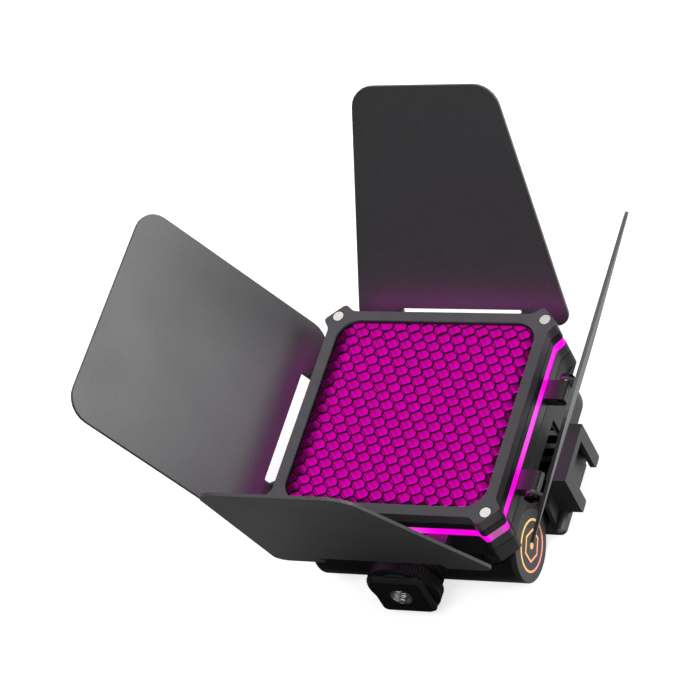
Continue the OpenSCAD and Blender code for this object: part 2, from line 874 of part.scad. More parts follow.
module mount_bush() {
    color("#b89a4a") difference() {
        rod_y(bush_r - 0.02, boss_y + 0.1, bush_inner_y);
        rod_y(stud_r + 0.06, boss_y - 1, bush_inner_y + 1);
    }
}

// ---------- shoe foot ----------

module adapter_pad() {
    color("#181818") difference() {
        rod_y(flange_r, boss_y - pad_t, boss_y - tiny);
        rod_y(stud_r + 0.1, boss_y - pad_t - 1, boss_y + 1);
    }
}

module foot_post() {
    color("#8f9194") {
        rod_y(stud_r, flange_top_y - eps, bush_inner_y - 0.3);
        rod_y(flange_r, flange_top_y - flange_h, flange_top_y);
        difference() {
            rod_y(post_r, foot_back_y - 0.2, flange_top_y - eps);
            rod_y(insert_r + tiny, foot_face_y, insert_inner_y + 0.05);
        }
    }
}

module foot_plate() {
    bevel = 0.9;
    half_w = foot_w / 2;
    half_len = foot_len / 2;
    edge_r = 2.2;
    face_r = 1.6;
    color("#343436") difference() {
        translate([0, foot_back_y, tube_z]) rotate([90, 0, 0]) {
            linear_extrude(foot_t - bevel) rounded_square(half_w, half_len, edge_r);
            hull() {
                linear_extrude(foot_t - bevel) rounded_square(half_w, half_len, edge_r, $fn = 32);
                linear_extrude(foot_t) rounded_square(half_w - bevel, half_len - bevel, face_r, $fn = 32);
            }
        }
        rod_y(insert_r + tiny, foot_face_y - 1, foot_back_y + 1);
        rod_y(post_r + 0.02, foot_back_y - 0.2 - eps, foot_back_y + 1);
    }
}

module thread_insert() {
    color("#cfd1d4") difference() {
        rod_y(insert_r, foot_face_y - 0.05, insert_inner_y);
        rod_y(thread_r, foot_face_y - 1, insert_inner_y + 1);
    }
}

module lock_wheel() {
    rib_depth = 0.4;
    lip_r = wheel_r - 0.8;
    lip_h = 0.35;
    recess_h = flange_h + 0.1;
    color("#2d2d2f") difference() {
        translate([0, wheel_top_y, tube_z]) rotate([90, 0, 0]) {
            linear_extrude(wheel_h - lip_h) ribbed_disc(wheel_r, rib_depth, wheel_ribs);
            linear_extrude(wheel_h) circle(lip_r);
        }
        rod_y(post_r + 0.06, wheel_bottom_y - 1, wheel_top_y + 1);
        rod_y(flange_r + 0.15, wheel_top_y - recess_h, wheel_top_y + 1);
        rod_y(flange_r + 1.6, wheel_bottom_y - 1, wheel_bottom_y + 0.4);
    }
}

module wheel_washer() {
    color("#141414") difference() {
        rod_y(flange_r + 1.4, wheel_bottom_y - 0.15, wheel_bottom_y + 0.36);
        rod_y(post_r + 0.1, wheel_bottom_y - 1, wheel_top_y);
    }
}

// ---------- side shoe ----------

shoe_floor_x = shoe_outer_x - shoe_lip_t - shoe_slot_t;
shoe_lip_x = shoe_outer_x - shoe_lip_t;
shoe_stop_z = shoe_front_z - 2.5;   // the slot ends here
wing_z = -lamp_depth - 0.1;         // the wing lies on the rear cover
wing_back_z = wing_z - wing_t;
wing_outer_x = 42.4;
wing_top_y = shoe_half;
shoe_pin_r = 1;
shoe_pin_x = 41;
shoe_pin_z = wing_z - 0.4;
shoe_pin_top = -9.8;

// One layer of the shoe seen from +X: its rear end is open by gap, the opening's mouth rounded by mouth_r
module shoe_layer(gap, mouth_r) {
    half_gap = gap / 2;
    tip_r = 0.8;
    translate([shoe_y, 0]) intersection() {
        polygon(rounded([[-shoe_half, shoe_rear_z], [-half_gap, shoe_rear_z], [-half_gap, shoe_stop_z],
                         [half_gap, shoe_stop_z], [half_gap, shoe_rear_z], [shoe_half, shoe_rear_z],
                         [shoe_half, shoe_front_z], [-shoe_half, shoe_front_z]],
                        [0, mouth_r, 0, 0, mouth_r, 0, 0, 0]));
        polygon(rounded([[-shoe_half, shoe_rear_z], [shoe_half, shoe_rear_z],
                         [shoe_half, shoe_front_z], [-shoe_half, shoe_front_z]],
                        [tip_r, tip_r, 0, 0]));
    }
}

// The flat wing behind the lamp, with the web and the pin boss that join it to the shoe
module shoe_wing() {
    web_t = 1.4;
    web_top_y = -9;
    web_low_y = -15.1;
    web_end_y = -13.6;
    slab(wing_back_z, wing_z)
        translate([(wing_inner_x + wing_outer_x) / 2, (wing_low_y + wing_top_y) / 2])
            rounded_square((wing_outer_x - wing_inner_x) / 2, (wing_top_y - wing_low_y) / 2, 1.8);
    slab_x(shoe_arm_x, shoe_arm_x + web_t)
        polygon([[web_top_y, shoe_arm_z], [web_top_y, wing_z], [web_low_y, wing_z], [web_end_y, shoe_arm_z]]);
    rod_y(shoe_pin_r + 0.4, wing_low_y + 0.1, web_top_y, shoe_pin_x, shoe_pin_z);
}

module side_shoe() {
    color("#3f3f41") difference() {
        union() {
            translate([shoe_back_x, shoe_y - shoe_half, shoe_rear_z])
                cube([shoe_floor_x - shoe_back_x, 2 * shoe_half, shoe_front_z - shoe_rear_z]);
            translate([shoe_arm_x, shoe_y - shoe_half, shoe_rear_z])
                cube([shoe_floor_x - shoe_arm_x, 2 * shoe_half, shoe_arm_z - shoe_rear_z]);
            slab_x(shoe_floor_x - eps, shoe_lip_x) shoe_layer(shoe_slot_w, 0);
            slab_x(shoe_lip_x - eps, shoe_outer_x) shoe_layer(shoe_lip_gap, 1);
            shoe_wing();
        }
        at_each(shoe_screw_places) screw_seat(wing_back_z, wing_t + 1);
        rod_y(shoe_pin_r + 0.02, wing_low_y - 1, shoe_pin_top + 0.3, shoe_pin_x, shoe_pin_z);
    }
}

module shoe_screws() {
    color("#a9acb0") at_each(shoe_screw_places) small_screw(wing_back_z, 4.6);
}

module shoe_pin() {
    color("#c4c6c9") rod_y(shoe_pin_r, wing_low_y - 0.1, shoe_pin_top, shoe_pin_x, shoe_pin_z);
}

grid_frame();
honeycomb_core();
grid_magnets();
retaining_ring();
ring_magnets();
diffuser_plate();
barn_door_frame();
frame_magnets();
ring_screws();
top_leaf();
right_leaf();
bottom_leaf();
left_leaf();
hinge_screws();
hinge_washers();
front_housing();
lamp_magnets();
lamp_window();
reflector_frame();
led_board();
led_chips();
heat_sink();
fan_frame();
fan_rotor();
control_board();
dial_encoder();
tact_switches();
rear_housing();
rear_cover();
cover_screws();
display_window();
control_dial();
mode_button();
power_button();
usb_socket();
tube_housing();
right_tube_cap();
left_tube_cap();
cap_emblem();
battery_cell();
mount_bush();
adapter_pad();
foot_post();
foot_plate();
thread_insert();
lock_wheel();
wheel_washer();
side_shoe();
shoe_screws();
shoe_pin();
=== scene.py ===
"""Looks of the pocket LED light with barn doors: materials, honeycomb film, thread, light and camera.

Everything is in metres, in the frame of the CAD part: +Z along the beam, +X the light's right side,
-Y towards the battery tube and the shoe foot. Dimensions given in millimetres are multiplied by MM.
"""

import math
import random

import bmesh
import bpy
from mathutils import Matrix, Vector
from mathutils.geometry import delaunay_2d_cdt


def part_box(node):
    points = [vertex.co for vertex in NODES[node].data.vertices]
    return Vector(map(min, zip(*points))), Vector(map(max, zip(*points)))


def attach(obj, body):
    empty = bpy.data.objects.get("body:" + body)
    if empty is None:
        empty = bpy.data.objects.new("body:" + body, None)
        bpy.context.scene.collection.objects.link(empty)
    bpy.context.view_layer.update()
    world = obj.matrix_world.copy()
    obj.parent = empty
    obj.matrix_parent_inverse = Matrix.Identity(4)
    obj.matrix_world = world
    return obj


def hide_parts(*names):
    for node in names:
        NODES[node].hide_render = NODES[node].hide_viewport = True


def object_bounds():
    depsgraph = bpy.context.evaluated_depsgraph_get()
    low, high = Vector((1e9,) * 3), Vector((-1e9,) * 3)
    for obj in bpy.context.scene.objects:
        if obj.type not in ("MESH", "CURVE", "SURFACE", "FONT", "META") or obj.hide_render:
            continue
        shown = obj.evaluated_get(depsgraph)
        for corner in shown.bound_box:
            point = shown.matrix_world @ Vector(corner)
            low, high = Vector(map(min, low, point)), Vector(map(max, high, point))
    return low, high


MM = 0.001
RANGE_SOCKETS = ("Value", "From Min", "From Max", "To Min", "To Max")
ROUNDED_EDGE = 0.15 * MM

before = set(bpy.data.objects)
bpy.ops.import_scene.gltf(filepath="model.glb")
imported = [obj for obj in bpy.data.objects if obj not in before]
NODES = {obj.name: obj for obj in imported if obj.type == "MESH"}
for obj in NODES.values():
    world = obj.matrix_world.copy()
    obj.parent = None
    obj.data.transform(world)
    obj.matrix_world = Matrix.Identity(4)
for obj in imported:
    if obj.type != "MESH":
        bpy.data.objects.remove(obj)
CAD_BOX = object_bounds()

# ---------- node helpers ----------


class Recipe:
    """One procedural material: a Principled shader and the small nodes that drive it."""

    def __init__(self, name, **values):
        self.material = bpy.data.materials.new(name)
        self.material.use_nodes = True
        self.tree = self.material.node_tree
        self.shader = self.tree.nodes["Principled BSDF"]
        self.coords = self.add("ShaderNodeTexCoord").outputs["Object"]
        for key, value in values.items():
            self.put(key.replace("_", " ").title().replace("Ior", "IOR"), value)

    def add(self, kind, **settings):
        node = self.tree.nodes.new(kind)
        for key, value in settings.items():
            setattr(node, key, value)
        return node

    def feed(self, socket, value):
        """Links an output to the socket, or sets a plain value or a grey level on it."""
        if isinstance(value, bpy.types.NodeSocket):
            self.tree.links.new(value, socket)
        elif socket.type == "RGBA":
            socket.default_value = rgba(value)
        else:
            socket.default_value = value

    def put(self, key, value):
        self.feed(self.shader.inputs[key], value)
        return self

    def math(self, operation, *values):
        node = self.add("ShaderNodeMath", operation=operation)
        for socket, value in zip(node.inputs, values):
            self.feed(socket, value)
        return node.outputs[0]

    def stretched(self, scale):
        """Object coordinates, scaled along each axis."""
        node = self.add("ShaderNodeMapping")
        self.feed(node.inputs["Vector"], self.coords)
        node.inputs["Scale"].default_value = scale
        return node.outputs[0]

    def noise(self, grain_mm, detail=2.0, roughness=0.5, stretch=None):
        """Noise from 0 to 1 with features about grain_mm across."""
        node = self.add("ShaderNodeTexNoise")
        self.feed(node.inputs["Vector"], self.stretched(stretch) if stretch else self.coords)
        node.inputs["Scale"].default_value = 1 / (grain_mm * MM)
        node.inputs["Detail"].default_value = detail
        node.inputs["Roughness"].default_value = roughness
        return node.outputs["Fac"]

    def cells(self, grain_mm):
        """Distance to the nearest of scattered points about grain_mm apart."""
        node = self.add("ShaderNodeTexVoronoi")
        self.feed(node.inputs["Vector"], self.coords)
        node.inputs["Scale"].default_value = 1 / (grain_mm * MM)
        return node.outputs["Distance"]

    def remap(self, value, low, high, to_low=0.0, to_high=1.0, smooth=False):
        """What value becomes when low to high is stretched to to_low to to_high, and held beyond them."""
        node = self.add("ShaderNodeMapRange", interpolation_type="SMOOTHSTEP" if smooth else "LINEAR")
        for key, item in zip(RANGE_SOCKETS, (value, low, high, to_low, to_high)):
            self.feed(node.inputs[key], item)
        return node.outputs[0]

    def blend(self, share, first, second):
        """The colour that goes from first to second as share goes from 0 to 1."""
        node = self.add("ShaderNodeMix", data_type="RGBA")
        for index, value in ((0, share), (6, first), (7, second)):
            self.feed(node.inputs[index], value)
        return node.outputs[2]

    def axis(self, letter, source=None):
        """One component of a vector, which is the place on the object unless another source is given."""
        node = self.add("ShaderNodeSeparateXYZ")
        self.feed(node.inputs[0], source or self.coords)
        return node.outputs[letter]

    def geometry(self, key="Normal"):
        return self.add("ShaderNodeNewGeometry").outputs[key]

    def for_camera(self):
        """1 where the camera sees the surface directly, 0 where light or a reflection reaches it."""
        return self.add("ShaderNodeLightPath").outputs["Is Camera Ray"]

    def relief(self, height, strength, depth_mm):
        """Bumps depth_mm deep from a height between 0 and 1, on slightly rounded edges."""
        edge = self.add("ShaderNodeBevel", samples=6)
        edge.inputs["Radius"].default_value = ROUNDED_EDGE
        node = self.add("ShaderNodeBump")
        self.feed(node.inputs["Normal"], edge.outputs[0])
        node.inputs["Strength"].default_value = strength
        node.inputs["Distance"].default_value = depth_mm * MM
        self.feed(node.inputs["Height"], height)
        return self.put("Normal", node.outputs[0])


def rgba(value):
    """A colour with alpha, from a grey level or three channels."""
    if isinstance(value, (int, float)):
        return (value, value, value, 1.0)
    return (*value, 1.0)


def tinted(value, factor):
    """The colour value with its channels multiplied by factor."""
    return tuple(channel * factor for channel in rgba(value)[:3])


# ---------- materials ----------


def powder_coat(name, colour, roughness=0.5, grain_mm=0.16, depth_mm=0.012, shine=0.5):
    """Baked powder on aluminium: a fine even pebble, with slow changes of tone."""
    r = Recipe(name)
    pebble = r.noise(grain_mm, detail=3.0, roughness=0.6)
    tone = r.noise(18.0, detail=1.5)
    fleck = r.remap(r.noise(grain_mm * 2.2, detail=1.0), 0.35, 0.7)
    r.put("Base Color", r.blend(fleck, tinted(colour, 0.8), tinted(colour, 1.25)))
    uneven = r.math("ADD", r.math("MULTIPLY", tone, 0.10), r.math("MULTIPLY", pebble, 0.08))
    r.put("Roughness", r.math("ADD", uneven, roughness - 0.09))
    r.put("Specular IOR Level", shine)
    return r.relief(pebble, 0.55, depth_mm).material


def moulded_plastic(name, colour, roughness=0.45, grain_mm=0.3, depth_mm=0.01, coat=0.0, shine=0.4):
    """Spark-textured moulded plastic: shallow rounded pits and faint handling marks."""
    r = Recipe(name)
    pits = r.cells(grain_mm)
    marks = r.noise(7.0, detail=3.0, roughness=0.65)
    r.put("Base Color", r.blend(r.remap(marks, 0.3, 0.7), tinted(colour, 0.9), tinted(colour, 1.12)))
    r.put("Roughness", r.math("ADD", r.math("MULTIPLY", marks, 0.12), roughness - 0.06))
    r.put("Coat Weight", coat)
    r.put("Specular IOR Level", shine)
    return r.relief(pits, 0.35, depth_mm).material


def anodised(name, colour, roughness=0.38, along=(1.0, 1.0, 0.08), shine=0.35):
    """Blasted and dyed aluminium, with brushing that still shows faintly along one direction."""
    r = Recipe(name)
    brushed = r.noise(0.5, detail=3.0, stretch=along)
    blasted = r.noise(0.09, detail=2.0)
    r.put("Base Color", r.blend(brushed, tinted(colour, 0.85), tinted(colour, 1.15)))
    r.put("Specular IOR Level", shine)
    r.put("Roughness", r.math("ADD", r.math("MULTIPLY", brushed, 0.14), roughness - 0.07))
    return r.relief(blasted, 0.35, 0.006).material


def turned_metal(name, colour, roughness=0.24, groove_mm=0.08, along=(1.0, 1.0, 1.0)):
    """Bright metal with the fine irregular lines of a tool."""
    r = Recipe(name, metallic=1.0)
    lines = r.noise(groove_mm, detail=2.0, stretch=along)
    stain = r.noise(2.5, detail=3.0)
    r.put("Base Color", r.blend(r.remap(stain, 0.35, 0.7), tinted(colour, 0.86), colour))
    r.put("Roughness", r.math("ADD", r.math("MULTIPLY", lines, 0.16), roughness - 0.06))
    return r.relief(lines, 0.25, 0.004).material


def nickel(name):
    """Nickel plating on a magnet: near white, slightly orange-peeled."""
    r = Recipe(name, metallic=1.0)
    peel = r.noise(0.45, detail=2.0)
    r.put("Base Color", r.blend(r.remap(peel, 0.3, 0.7), (0.74, 0.72, 0.70), (0.84, 0.82, 0.80)))
    r.put("Roughness", r.remap(peel, 0.2, 0.8, 0.22, 0.36))
    return r.relief(peel, 0.2, 0.01).material


MAGENTA = (1.0, 0.0, 0.74)
MID_SIDE = (1.0, 0.085, 0.82)
EAR_LILAC = (0.33, 0.08, 0.24)
# The rim's colours change over these distances: from the middle of a side, and from a corner's diagonal
MID_SIDE_NEAR, MID_SIDE_FAR = 2 * MM, 17 * MM
EAR_NEAR, EAR_FAR = 1.0 * MM, 5.4 * MM
RIM_INNER, RIM_OUTER = 4 * MM, 2 * MM
FACE_SHARE = 0.6


def lit_acrylic(name, seen, cast):
    """Milky acrylic lit from behind: strongest along the sides, weaker at the corner ears.

    Its rim looks as bright as seen, and it lights what stands round it as strongly as cast.
    """
    r = Recipe(name, roughness=0.35, specular_ior_level=0.1)
    x = r.math("ABSOLUTE", r.axis("X"))
    y = r.math("ABSOLUTE", r.axis("Y"))
    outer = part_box("diffuser_plate")[1].x
    rim = r.remap(r.math("MAXIMUM", x, y), outer - RIM_INNER, outer - RIM_OUTER)
    diagonal = r.remap(r.math("ABSOLUTE", r.math("SUBTRACT", x, y)), EAR_FAR, EAR_NEAR, smooth=True)
    ear = r.math("MULTIPLY", diagonal, rim)
    middle = r.remap(r.math("MINIMUM", x, y), MID_SIDE_FAR, MID_SIDE_NEAR, smooth=True)
    cloud = r.noise(6.0, detail=2.0)
    rim_colour = r.blend(ear, r.blend(middle, MAGENTA, MID_SIDE), EAR_LILAC)
    colour = r.blend(rim, MAGENTA, rim_colour)
    brightness = r.remap(rim, 0.0, 1.0, FACE_SHARE * seen, seen)
    power = r.remap(r.for_camera(), 0.0, 1.0, cast, brightness)
    r.put("Base Color", r.blend(ear, (0.03, 0.0, 0.02), (0.1, 0.06, 0.09)))
    r.put("Emission Color", colour)
    r.put("Emission Strength", r.math("MULTIPLY", power, r.remap(cloud, 0.3, 0.7, 0.95, 1.05)))
    return r.relief(cloud, 0.1, 0.01).material


# Sizes and shades of the film's painted glow, emission that stands in for the diffuser's light, and of its
# painted shade
EDGE_DARK, EDGE_LIT = 0.05 * MM, 0.75 * MM
GLOW_REACH, GLOW_END = 29.0 * MM, 32.6 * MM
# The folds' painted shade: how many per row, how dark, and how much falls on the upper wall
FOLDS_PER_ROW = 3
FOLD_DARKEST = 0.25
UPPER_FOLDS = 0.3


def film(name, top, bottom):
    """Black film of the honeycomb: near-black cut edges; the glow on its walls is painted on as emission,
    with painted shade.
    """
    r = Recipe(name, roughness=0.8, specular_ior_level=0.0)
    facing_x = r.axis("X", r.geometry())
    # Painted shade: the glow fades to near black at the top edge, and is weak on faces that look up
    level = r.remap(r.axis("Z"), top - EDGE_DARK, top - EDGE_LIT, 0.1, 1.0, smooth=True)
    deep = r.remap(r.axis("Z"), top, bottom, 0.0, 1.0)
    wall = r.remap(r.math("ABSOLUTE", r.axis("Z", r.geometry())), 0.5, 0.2, 0.15, 1.0)
    # Painted shade: the glow fades out towards the film's outer edge, beyond the diffuser's reach
    side_reach = r.math("MAXIMUM", r.math("ABSOLUTE", r.axis("X")), r.math("MULTIPLY", r.axis("Y"), -1.0))
    over_glow = r.remap(side_reach, GLOW_END, GLOW_REACH, 0.12, 1.0, smooth=True)
    # Painted shade of the film's folds down the left side of each cell, at the same place in every cell
    row = r.math("ADD", r.axis("Y"), r.math("MULTIPLY", r.axis("X"), ROW_SLOPE))
    place = r.math("FRACT", r.math("DIVIDE", r.math("SUBTRACT", row, ROW_START), ROW_STEP))
    wave = r.math("SINE", r.math("MULTIPLY", place, 2 * math.pi * FOLDS_PER_ROW))
    left_wall = r.remap(facing_x, 0.7, 0.95)
    upper_share = r.remap(facing_x, 0.25, 0.35, 0.0, UPPER_FOLDS)
    upper_wall = r.math("MULTIPLY", upper_share, r.remap(place, 0.56, 0.46))
    fold_shade = r.math("MULTIPLY", r.remap(wave, -0.2, 0.5), r.math("MAXIMUM", left_wall, upper_wall))
    shade = r.remap(fold_shade, 0.0, 1.0, 1.0, FOLD_DARKEST)
    # Painted shade: walls facing -X glow less than walls facing +X
    side = r.remap(facing_x, -1.0, 0.6, 0.6, 1.0)
    # Strength of the painted glow, before the painted shade of the folds
    lit = r.math("MULTIPLY", r.math("MULTIPLY", level, wall), r.math("MULTIPLY", over_glow, side))
    streak = r.noise(0.5, detail=2.0, stretch=(1.0, 1.0, 0.1))
    r.put("Base Color", r.blend(streak, 0.002, 0.006))
    # Painted glow: darker at the top edge, brighter deeper down
    r.put("Emission Color", r.blend(deep, (0.52, 0.0, 0.29), (0.74, 0.0, 0.44)))
    r.put("Emission Strength", r.math("MULTIPLY", lit, shade))
    return r.relief(streak, 0.3, 0.02).material


def hot_foil(name):
    """Foil that turns from yellow gold to rose across the mark, slightly worn."""
    r = Recipe(name, metallic=0.9, roughness=0.3)
    low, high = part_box("cap_emblem")
    turn = r.remap(r.axis("Z"), high.z, low.z)
    wear = r.remap(r.noise(0.6, detail=3.0), 0.62, 0.8)
    colour = r.blend(turn, (1.0, 0.62, 0.16), (0.95, 0.33, 0.27))
    r.put("Base Color", r.blend(wear, colour, (0.35, 0.2, 0.1)))
    # Painted glow: the foil glows faintly, though it is no lamp, so that it reads brighter
    r.put("Emission Color", colour)
    r.put("Emission Strength", 0.35)
    return r.material


def rubber(name, shade):
    """Soft black rubber with a dusty bloom."""
    r = Recipe(name)
    bloom = r.noise(3.0, detail=3.0)
    r.put("Base Color", r.blend(bloom, tinted(shade, 0.8), tinted(shade, 1.6)))
    r.put("Roughness", r.remap(bloom, 0.2, 0.8, 0.7, 0.9))
    return r.relief(r.noise(0.2), 0.4, 0.02).material


def circuit_board(name, mask, copper):
    """Solder mask with tracks that show through as slightly lighter bands."""
    r = Recipe(name, roughness=0.35, coat_weight=0.4)
    node = r.add("ShaderNodeTexBrick")
    r.feed(node.inputs["Vector"], r.coords)
    node.inputs["Scale"].default_value = 260.0
    node.inputs["Mortar Size"].default_value = 0.03
    tracks = r.math("MULTIPLY", node.outputs["Fac"], r.remap(r.noise(4.0), 0.4, 0.6))
    r.put("Base Color", r.blend(tracks, mask, copper))
    return r.relief(tracks, 0.3, 0.03).material


def dark_glass(name):
    """Smoked display window with a faint oily sheen."""
    r = Recipe(name, roughness=0.06, coat_weight=1.0)
    smear = r.noise(9.0, detail=3.0)
    r.put("Base Color", r.blend(smear, (0.006, 0.006, 0.009), (0.02, 0.02, 0.026)))
    r.put("Coat Roughness", r.remap(smear, 0.3, 0.7, 0.02, 0.1))
    return r.material


def shrink_wrap(name, colour):
    """Printed heat-shrink sleeve, tight and slightly wrinkled."""
    r = Recipe(name, roughness=0.28, coat_weight=0.5)
    wrinkle = r.noise(1.4, detail=3.0, stretch=(0.3, 1.0, 1.0))
    r.put("Base Color", r.blend(wrinkle, tinted(colour, 0.8), tinted(colour, 1.2)))
    return r.relief(wrinkle, 0.4, 0.04).material


def phosphor(name):
    """Yellow phosphor gel of an LED package."""
    r = Recipe(name, roughness=0.35, coat_weight=0.3)
    grain = r.noise(0.25, detail=3.0)
    r.put("Base Color", r.blend(grain, (0.85, 0.62, 0.16), (0.98, 0.84, 0.4)))
    return r.relief(grain, 0.3, 0.02).material


# Which finish each CAD node wears: the material's name, its maker and the maker's own values.
LEAF = (0.036, 0.036, 0.038)
FRAME_FACE = (0.058, 0.053, 0.061)
FRAME_BLACK = (0.008, 0.008, 0.0085)
HOUSING = (0.008, 0.008, 0.0085)
CAP = (0.02, 0.02, 0.021)
STEEL = (0.62, 0.62, 0.63)

FINISHES = {
    "leaf_powder_coat": (powder_coat, dict(colour=LEAF),
                         ["top_leaf", "right_leaf", "bottom_leaf", "left_leaf"]),
    "frame_powder_coat": (powder_coat, dict(colour=FRAME_BLACK, roughness=0.42), ["barn_door_frame"]),
    "grid_frame_plastic": (moulded_plastic, dict(colour=FRAME_FACE, roughness=0.55, shine=0.35),
                           ["grid_frame"]),
    "ring_plastic": (moulded_plastic, dict(colour=FRAME_BLACK, roughness=0.4, shine=0.3),
                     ["retaining_ring"]),
    "housing_plastic": (moulded_plastic, dict(colour=HOUSING, roughness=0.5),
                        ["front_housing", "rear_housing", "rear_cover"]),
    "cap_plastic": (moulded_plastic, dict(colour=CAP, roughness=0.5), ["right_tube_cap", "left_tube_cap"]),
    "tube_anodised": (anodised,
                      dict(colour=(0.007, 0.007, 0.0075), roughness=0.42, along=(0.08, 1.0, 1.0), shine=0.3),
                      ["tube_housing"]),
    "shoe_anodised": (anodised, dict(colour=(0.02, 0.02, 0.021), roughness=0.5, shine=0.4), ["side_shoe"]),
    "foot_anodised": (anodised, dict(colour=(0.007, 0.007, 0.007), roughness=0.4, shine=0.22),
                      ["foot_plate"]),
    "wheel_anodised": (anodised,
                       dict(colour=(0.005, 0.005, 0.005), roughness=0.45, along=(1.0, 0.1, 1.0), shine=0.2),
                       ["lock_wheel", "control_dial"]),
    "magnet_nickel": (nickel, {}, ["grid_magnets", "ring_magnets", "frame_magnets", "lamp_magnets"]),
    "black_screw_steel": (turned_metal, dict(colour=(0.03, 0.03, 0.032), roughness=0.32),
                          ["ring_screws", "hinge_screws", "cover_screws"]),
    "bright_steel": (turned_metal, dict(colour=STEEL),
                     ["hinge_washers", "foot_post", "thread_insert", "shoe_screws", "shoe_pin",
                      "usb_socket", "dial_encoder"]),
    "bush_brass": (turned_metal, dict(colour=(0.75, 0.55, 0.25), roughness=0.3), ["mount_bush"]),
    "sink_aluminium": (turned_metal, dict(colour=(0.78, 0.79, 0.8), roughness=0.4, along=(1.0, 0.05, 1.0)),
                       ["heat_sink"]),
    "lit_diffuser": (lit_acrylic, dict(seen=1.12, cast=4.0), ["diffuser_plate"]),
    "lit_window": (lit_acrylic, dict(seen=1.6, cast=1.2), ["lamp_window"]),
    "reflector_plastic": (moulded_plastic, dict(colour=(0.85, 0.85, 0.83), roughness=0.6),
                          ["reflector_frame"]),
    "led_board_mask": (circuit_board, dict(mask=(0.8, 0.8, 0.77), copper=(0.9, 0.88, 0.8)), ["led_board"]),
    "led_phosphor": (phosphor, {}, ["led_chips"]),
    "control_board_mask": (circuit_board, dict(mask=(0.02, 0.12, 0.05), copper=(0.06, 0.26, 0.1)),
                           ["control_board"]),
    "fan_plastic": (moulded_plastic, dict(colour=(0.02, 0.02, 0.021), roughness=0.4),
                    ["fan_frame", "fan_rotor"]),
    "button_plastic": (moulded_plastic, dict(colour=(0.07, 0.07, 0.073), roughness=0.45),
                       ["mode_button", "tact_switches"]),
    "power_plastic": (moulded_plastic, dict(colour=(0.42, 0.02, 0.03), roughness=0.4, coat=0.2),
                      ["power_button"]),
    "display_glass": (dark_glass, {}, ["display_window"]),
    "emblem_foil": (hot_foil, {}, ["cap_emblem"]),
    "cell_wrap": (shrink_wrap, dict(colour=(0.03, 0.14, 0.4)), ["battery_cell"]),
    "washer_rubber": (rubber, dict(shade=0.015), ["adapter_pad", "wheel_washer"]),
}


def dress_nodes():
    """Gives every CAD node its material."""
    for name, (maker, values, wearers) in FINISHES.items():
        material = maker(name, **values)
        for node in wearers:
            mesh = NODES[node].data
            mesh.materials.clear()
            mesh.materials.append(material)


# ---------- honeycomb film ----------

# The three directions of a cell's sides, each as long as the side
SLANT_UP = Vector((2.67, 1.23)) * MM
SLANT_DOWN = Vector((2.04, -1.49)) * MM
UPRIGHT = Vector((0.0, -1.85)) * MM
FIRST_CELL = Vector((0.585, 1.973)) * MM
# How thick the film is along each of them: two of the three are glued double
SLANT_UP_T = 0.42 * MM
SLANT_DOWN_T = 0.22 * MM
UPRIGHT_T = 0.40 * MM
NODE_JITTER = 0.07 * MM
# Rows of cells lie this far apart, across a line that falls by the slope
ROW_SLOPE = 0.0543
ROW_STEP = 3.224 * MM
ROW_START = 2.005 * MM
# The film's outline, and its clearance above the retaining ring
OPEN_RADIUS = 6.9 * MM
FILM_EDGE = 0.3 * MM
FILM_CLEARANCE = 0.05 * MM
# Corners of neighbouring cells that are this close are one corner
SAME_CORNER = 0.3 * MM
CELLS_BEYOND = 4 * MM
SMALLEST_CELL = 0.5 * MM * MM
DICE_SEED = 7


def rounded_outline(half, radius, steps=12):
    """Points of a square with rounded corners, counter-clockwise."""
    points = []
    for k in range(4):
        for i in range(steps + 1):
            a = math.pi / 2 * (k + i / steps)
            turn = Matrix.Rotation(math.pi / 2 * k, 2)
            centre = turn @ Vector((half - radius, half - radius))
            points.append(centre + radius * Vector((math.cos(a), math.sin(a))))
    return points


def cut_to(points, border):
    """The part of a polygon inside a convex border."""
    for start, end in zip(border, border[1:] + border[:1]):
        edge = end - start
        kept = []
        for p, q in zip(points, points[1:] + points[:1]):
            side_p, side_q = edge.cross(p - start), edge.cross(q - start)
            if side_p >= 0:
                kept.append(p)
            if side_p * side_q < 0:
                kept.append(p.lerp(q, side_p / (side_p - side_q)))
        points = kept
        if len(points) < 3:
            return []
    return points


def area(points):
    return abs(sum(p.cross(q) for p, q in zip(points, points[1:] + points[:1]))) / 2


def inset_cell(corners, depths):
    """A cell outline with each side moved in by its own depth."""
    lines = []
    for k, corner in enumerate(corners):
        along = (corners[(k + 1) % 6] - corner).normalized()
        inward = Vector((-along.y, along.x))
        lines.append((corner + inward * depths[k], along))
    points = []
    for k in range(6):
        (a, u), (b, v) = lines[k - 1], lines[k]
        points.append(a + u * ((b - a).cross(v) / u.cross(v)))
    return points


def lattice_cells(reach):
    """Outlines of the film's cells: squashed and leaning hexagons, a little uneven as pulled film is."""
    across, along = SLANT_UP + SLANT_DOWN, SLANT_DOWN + UPRIGHT
    steps = (SLANT_UP, SLANT_DOWN, UPRIGHT, -SLANT_UP, -SLANT_DOWN, -UPRIGHT)
    depths = (SLANT_DOWN_T / 2, SLANT_UP_T / 2, UPRIGHT_T / 2) * 2
    dice = random.Random(DICE_SEED)
    moved = {}

    def node(point):
        key = (round(point.x / SAME_CORNER), round(point.y / SAME_CORNER))
        if key not in moved:
            moved[key] = point + Vector((dice.gauss(0, NODE_JITTER), dice.gauss(0, NODE_JITTER)))
        return moved[key]

    count = int(2 * reach / along.length) + 2
    for row in range(-count, count + 1):
        for column in range(-count, count + 1):
            centre = FIRST_CELL + across * column + along * row
            if max(abs(centre.x), abs(centre.y)) > reach + CELLS_BEYOND:
                continue
            corner = centre - (SLANT_UP + SLANT_DOWN + UPRIGHT) / 2
            corners = []
            for step in steps:
                corners.append(node(corner))
                corner = corner + step
            corners.reverse()
            yield inset_cell(corners, depths)


